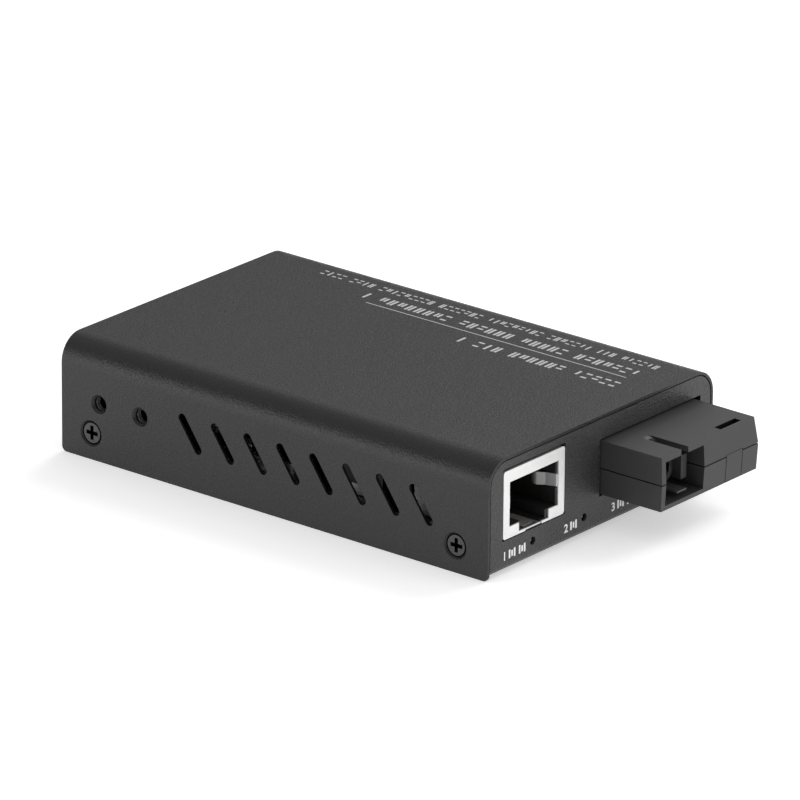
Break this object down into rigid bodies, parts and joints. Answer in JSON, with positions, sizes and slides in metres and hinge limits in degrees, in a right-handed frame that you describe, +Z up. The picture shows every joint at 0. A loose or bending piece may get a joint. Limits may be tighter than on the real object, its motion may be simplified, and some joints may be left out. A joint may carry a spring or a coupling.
{
  "type": "fibre media converter",
  "caption": "Small steel-cased converter that joins a copper network cable to a single-fibre optical link.",
  "frame": {"origin": "centre of the bottom of the whole part's bounding box, transceiver included", "axes": "+Z up, ports face -Y, X across the width; the copper jack is on the -X side"},
  "size_m": [0.06, 0.1046, 0.0205],
  "materials": {
    "cover_paint": "fine matt powder coat",
    "tray_paint": "fine matt powder coat",
    "screw_black": "blackened steel, cross recess",
    "zinc_steel": "bright zinc plate",
    "board_green": "solder mask over glass-fibre board",
    "shield_metal": "bright nickel-plated sheet",
    "jack_plastic": "moulded, glass filled",
    "gold_contact": "gold flash over spring bronze",
    "optic_plastic": "moulded, fine spark texture",
    "clip_plastic": "moulded",
    "turned_steel": "fine turned",
    "tin_plate": "tin-plated",
    "chip_plastic": "moulded epoxy",
    "lamp_epoxy": "clear epoxy over a white body",
    "can_metal": "satin can",
    "ferrite": "sintered grey",
    "ceramic_chip": "sintered"
  },
  "bodies": {
    "root": {"top_cover": "cover_paint", "base_tray": "tray_paint", "cover_screws": "screw_black", "main_board": "board_green", "board_standoffs": "zinc_steel", "board_screws": "zinc_steel", "rj45_shield": "shield_metal", "rj45_housing": "jack_plastic", "rj45_contacts": "gold_contact", "optic_upper_shell": "optic_plastic", "optic_lower_shell": "optic_plastic", "optic_latch_clip": "clip_plastic", "optic_receptacle": "turned_steel", "optic_barrel": "turned_steel", "optic_laser_can": "turned_steel", "optic_photodiode_can": "turned_steel", "optic_board": "board_green", "optic_pins": "gold_contact", "dc_jack_housing": "jack_plastic", "dc_jack_pin": "tin_plate", "dc_jack_spring": "tin_plate", "transformer": "chip_plastic", "main_chip": "chip_plastic", "memory_chip": "chip_plastic", "crystal": "can_metal", "power_inductor": "ferrite", "regulator": "chip_plastic", "diode": "chip_plastic", "chip_resistors": "chip_plastic", "chip_capacitors": "ceramic_chip", "led_lamp_1": "lamp_epoxy", "led_lamp_2": "lamp_epoxy", "led_lamp_3": "lamp_epoxy", "capacitor_1": "can_metal", "capacitor_2": "can_metal", "capacitor_3": "can_metal"}
  },
  "joints": []
}
